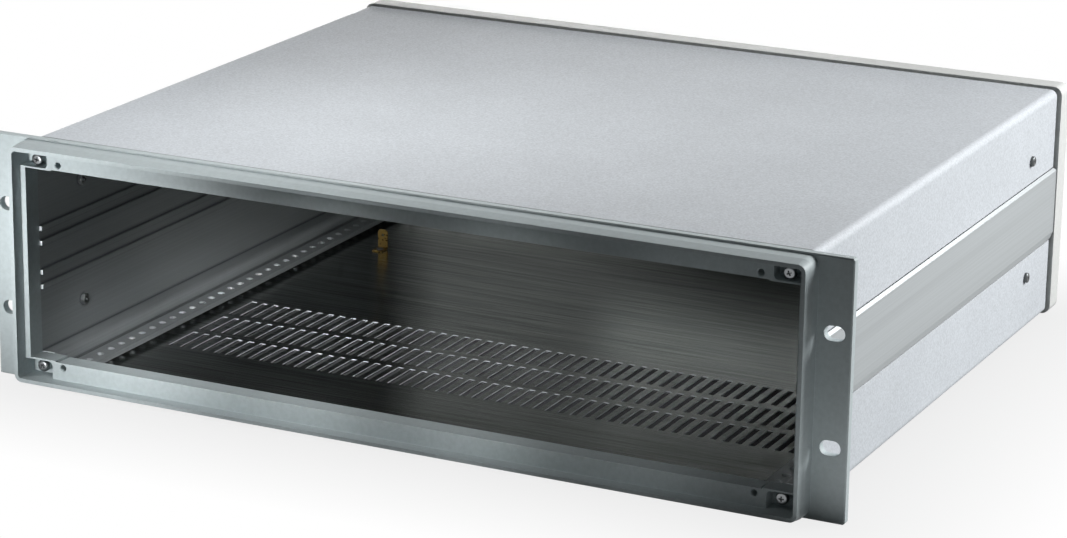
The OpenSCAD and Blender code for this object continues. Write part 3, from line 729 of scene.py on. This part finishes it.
class RACKCASE_OT_frame_screws(bpy.types.Operator):
    """Models the plated pan head screws of the frames and of the rear panel"""

    bl_idname = "rackcase.frame_screws"
    bl_label = "Make the frame screws"

    def execute(self, context):
        sizes = context.scene.rackcase_fasteners
        metal = context.scene.rackcase_metal
        bright = plated_metal("bright_zinc_plate", metal.zinc_colour, roughness=0.30)
        place_screws({"front_frame_screws_left": FRONT, "front_frame_screws_right": FRONT,
                      "rear_frame_screws_left": BACK, "rear_frame_screws_right": BACK},
                     sizes.frame_thread, sizes.frame_head, sizes.frame_height, bright)
        place_screws({"rear_panel_screws": BACK},
                     sizes.panel_thread, sizes.panel_head, sizes.panel_height, bright)
        return {"FINISHED"}


class RACKCASE_OT_cover_screws(bpy.types.Operator):
    """Models the plated screws and nuts that hold the covers to the side profiles"""

    bl_idname = "rackcase.cover_screws"
    bl_label = "Make the cover screws"

    def execute(self, context):
        sizes = context.scene.rackcase_fasteners
        metal = context.scene.rackcase_metal
        # The cover screws get a darker copy of the nuts' zinc plate, as painted shade
        dark = plated_metal("zinc_plate_in_painted_shade", metal.zinc_colour_in_painted_shade, roughness=0.32)
        dull = plated_metal("dull_zinc_plate", metal.nut_colour, roughness=0.32)
        place_screws({"top_cover_screws_left": LEFT, "top_cover_screws_right": RIGHT,
                      "bottom_cover_screws_left": LEFT, "bottom_cover_screws_right": RIGHT},
                     sizes.cover_thread, sizes.cover_head, sizes.cover_height, dark)
        nuts = {"top_cover_nuts_left": RIGHT, "top_cover_nuts_right": LEFT,
                "bottom_cover_nuts_left": RIGHT, "bottom_cover_nuts_right": LEFT}
        low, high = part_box("top_cover_nuts_left")
        corners = high.z - low.z
        flats = corners * math.cos(HALF_HEX)
        nut = hex_nut(flats, high.x - low.x, sizes.nut_bore)
        for node, facing in nuts.items():
            low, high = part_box(node)
            seat = low.x if facing == RIGHT else high.x
            copy_to_corners(nut, f"chamfered_{node}", node, facing, seat, (0, flats, corners),
                            dull)
        bpy.data.meshes.remove(nut.data)
        return {"FINISHED"}


class RACKCASE_OT_earth_tab(bpy.types.Operator):
    """Finishes the brass earth tab and its rivet"""

    bl_idname = "rackcase.earth_tab"
    bl_label = "Finish the earth tab"

    def execute(self, context):
        metal = context.scene.rackcase_metal
        brass = plated_metal("stamped_brass", metal.brass_colour, roughness=0.28)
        dress(brass, "brass_tab", "earth_tab")
        rivet = plated_metal("aluminium_rivet", metal.zinc_colour, roughness=0.30)
        dress(rivet, "rivet", "earth_tab_rivet")
        return {"FINISHED"}


def soft_lamp(name, power, place, aim, size, beam=180):
    """An area lamp at a place, turned to a point, with a grid that narrows its beam to some degrees."""
    light = bpy.data.lights.new(name, "AREA")
    light.shape = "RECTANGLE"
    light.size, light.size_y = size
    light.energy = power
    light.spread = math.radians(beam)
    lamp = bpy.data.objects.new(name, light)
    lamp.location = place
    lamp.rotation_euler = (Vector(aim) - Vector(place)).to_track_quat("-Z", "Y").to_euler()
    lamp.visible_camera = False
    bpy.context.scene.collection.objects.link(lamp)


def backdrop_rays(tree):
    """1 for the rays that should see the white backdrop: the camera's, and mirrored and passed ones."""
    path = add(tree, "ShaderNodeLightPath").outputs
    mirrored = add(tree, "ShaderNodeMath", {
        0: path["Is Camera Ray"], 1: path["Is Glossy Ray"]}, operation="MAXIMUM")
    return add(tree, "ShaderNodeMath", {
        0: mirrored.outputs["Value"], 1: path["Is Transmission Ray"]}, operation="MAXIMUM").outputs["Value"]


def matt_floor(stage):
    """Matt white floor: pale to the eye, and it keeps the shadow of the case, partly real and partly
    painted by a glow dimmed near the case.
    """
    material, tree = new_material("matt_white_floor")
    place = add(tree, "ShaderNodeTexCoord").outputs["Object"]
    folded = add(tree, "ShaderNodeVectorMath", {0: place}, operation="ABSOLUTE")
    # Under the case the floor lies in the dark, so that the vents stay black
    beyond = add(tree, "ShaderNodeVectorMath", {
        0: folded.outputs["Vector"], 1: (COVER_HALF_X - SHADE_INSET, COVER_HIGH.y - SHADE_INSET, 0)},
        operation="SUBTRACT")
    clamped = add(tree, "ShaderNodeVectorMath", {
        0: beyond.outputs["Vector"], 1: (0, 0, 0)}, operation="MAXIMUM")
    apart = add(tree, "ShaderNodeVectorMath", {0: clamped.outputs["Vector"]}, operation="LENGTH")
    outside = add(tree, "ShaderNodeMath", {0: apart.outputs["Value"], 1: 0.0}, operation="GREATER_THAN")
    # Painted shade: the glow is dimmed near the case, so that the real shadow there shows through
    bright = add(tree, "ShaderNodeMapRange", {
        "Value": apart.outputs["Value"], "From Max": SHADOW_REACH, "To Min": 0.80, "To Max": 1.0})
    white = add(tree, "ShaderNodeMath", {
        0: outside.outputs["Value"], 1: bright.outputs["Result"]}, operation="MULTIPLY")
    seen = add(tree, "ShaderNodeMath", {
        0: backdrop_rays(tree), 1: white.outputs["Value"]}, operation="MULTIPLY")
    matt = add(tree, "ShaderNodeBsdfDiffuse", {"Color": shade(stage.floor_colour, 1.0)})
    glow = add(tree, "ShaderNodeEmission", {"Color": (1, 1, 1, 1), "Strength": 1.0})
    both = add(tree, "ShaderNodeMixShader", {
        0: seen.outputs["Value"], 1: matt.outputs["BSDF"], 2: glow.outputs["Emission"]})
    close(tree, both.outputs["Shader"])
    return material


def light_world(stage):
    """Grey room light, seen as a white backdrop."""
    world = bpy.data.worlds.new("studio")
    world.use_nodes = True
    tree = world.node_tree
    tree.nodes.clear()
    room = add(tree, "ShaderNodeBackground", {"Color": (1, 1, 1, 1), "Strength": stage.room_level})
    white = add(tree, "ShaderNodeBackground", {"Color": (1, 1, 1, 1), "Strength": 1.0})
    both = add(tree, "ShaderNodeMixShader", {
        0: backdrop_rays(tree), 1: room.outputs["Background"], 2: white.outputs["Background"]})
    add(tree, "ShaderNodeOutputWorld", {"Surface": both.outputs["Shader"]})
    bpy.context.scene.world = world


def place_camera():
    """A camera at the photograph's viewing angle."""
    data = bpy.data.cameras.new("camera")
    data.sensor_width = SENSOR_WIDTH
    data.lens = FOCAL_PIXELS * SENSOR_WIDTH / PHOTO_SIZE[0]
    data.clip_start = 0.05
    data.clip_end = 50
    azimuth = math.radians(CAMERA_AZIMUTH)
    elevation = math.radians(CAMERA_ELEVATION)
    back = Vector((math.sin(azimuth) * math.cos(elevation), -math.cos(azimuth) * math.cos(elevation),
                   math.sin(elevation)))
    turn = (-back).to_track_quat("-Z", "Y").to_matrix().to_4x4()
    roll = Matrix.Rotation(math.radians(CAMERA_ROLL), 4, "Z")
    camera = bpy.data.objects.new("camera", data)
    camera.matrix_world = Matrix.Translation(CAMERA_PLACE) @ turn @ roll
    bpy.context.scene.collection.objects.link(camera)
    bpy.context.scene.camera = camera


class RACKCASE_OT_stage(bpy.types.Operator):
    """Adds the floor, the lamps, the backdrop and the camera"""

    bl_idname = "rackcase.stage"
    bl_label = "Set the stage"

    def execute(self, context):
        stage = context.scene.rackcase_stage
        bpy.ops.object.select_all(action="DESELECT")
        bpy.ops.mesh.primitive_plane_add(size=FLOOR_SIZE)
        floor = context.active_object
        floor.name = "floor"
        floor.data.materials.append(matt_floor(stage))
        soft_lamp("right_lamp", stage.right_power, place=(1.00, 0.60, 0.68), aim=(0.22, -0.10, 0.06),
                  size=(0.6, 0.6), beam=80)
        soft_lamp("top_lamp", stage.top_power, place=(-0.44, -0.50, 0.75), aim=(-0.10, -0.10, 0.11),
                  size=(0.2, 0.2), beam=30)
        soft_lamp("left_lamp", stage.left_power, place=(-0.25, -0.78, 0.05), aim=(-0.205, -0.19, 0.085),
                  size=(0.06, 0.06), beam=25)
        soft_lamp("wall_lamp", stage.wall_power, place=(0.25, -1.00, 0.34), aim=(-0.195, -0.05, 0.0),
                  size=(0.05, 0.05), beam=6.8)
        soft_lamp("panel_lamp", stage.panel_power, place=(0.03, -0.55, 0.012), aim=(0.06, 0.19, 0.075),
                  size=(0.24, 0.015), beam=6)
        soft_lamp("bounce_lamp", stage.bounce_power, place=(0.27, -0.24, 0.002), aim=(0.27, -0.24, 1),
                  size=(0.08, 0.06))
        soft_lamp("corner_lamp", stage.corner_power, place=(0.25, -0.55, 0.45), aim=(-0.195, -0.15, 0.0),
                  size=(0.05, 0.05), beam=8)
        soft_lamp("left_fill", stage.fill_power, place=(-1.20, 0.60, 0.13), aim=(-0.22, 0.0, 0.065),
                  size=(0.6, 0.2), beam=50)
        soft_lamp("rear_fill", stage.fill_power, place=(-0.60, 1.20, 0.13), aim=(0.0, 0.20, 0.065),
                  size=(0.6, 0.2), beam=50)
        for x, share in VENT_LAMPS:
            soft_lamp("vent_lamp", share * stage.vent_power, place=(x + 0.42, -1.00, 0.40),
                      aim=(x, -0.06, 0.003), size=(0.05, 0.05), beam=7)
        light_world(stage)
        place_camera()
        context.scene.view_settings.view_transform = "Standard"
        return {"FINISHED"}


STEPS = (RACKCASE_OT_covers, RACKCASE_OT_frames, RACKCASE_OT_profiles, RACKCASE_OT_rear_panel,
         RACKCASE_OT_frame_screws, RACKCASE_OT_cover_screws, RACKCASE_OT_earth_tab, RACKCASE_OT_stage)
SETTINGS = {"rackcase_coat": RACKCASE_PG_coat, "rackcase_metal": RACKCASE_PG_metal,
            "rackcase_fasteners": RACKCASE_PG_fasteners, "rackcase_stage": RACKCASE_PG_stage}


class RACKCASE_PT_panel(bpy.types.Panel):
    """Settings and steps of the rack mount case"""

    bl_idname = "RACKCASE_PT_panel"
    bl_label = "Rack mount case"
    bl_space_type = "VIEW_3D"
    bl_region_type = "UI"
    bl_category = "Rack case"

    def draw(self, context):
        for name in SETTINGS:
            group = getattr(context.scene, name)
            box = self.layout.box()
            for setting in group.bl_rna.properties.keys():
                if setting not in ("rna_type", "name"):
                    box.prop(group, setting)
        for step in STEPS:
            self.layout.operator(step.bl_idname)


def register():
    """Registers the settings, the steps and the panel."""
    for group in (*SETTINGS.values(), *STEPS, RACKCASE_PT_panel):
        bpy.utils.register_class(group)
    for name, group in SETTINGS.items():
        setattr(bpy.types.Scene, name, PointerProperty(type=group))


def unregister():
    """Takes out what register put in."""
    for name in SETTINGS:
        delattr(bpy.types.Scene, name)
    for group in (RACKCASE_PT_panel, *reversed(STEPS), *SETTINGS.values()):
        bpy.utils.unregister_class(group)


def main():
    """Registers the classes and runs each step."""
    register()
    bpy.ops.rackcase.covers()
    bpy.ops.rackcase.frames()
    bpy.ops.rackcase.profiles()
    bpy.ops.rackcase.rear_panel()
    bpy.ops.rackcase.frame_screws()
    bpy.ops.rackcase.cover_screws()
    bpy.ops.rackcase.earth_tab()
    bpy.ops.rackcase.stage()


if __name__ == "__main__":
    main()
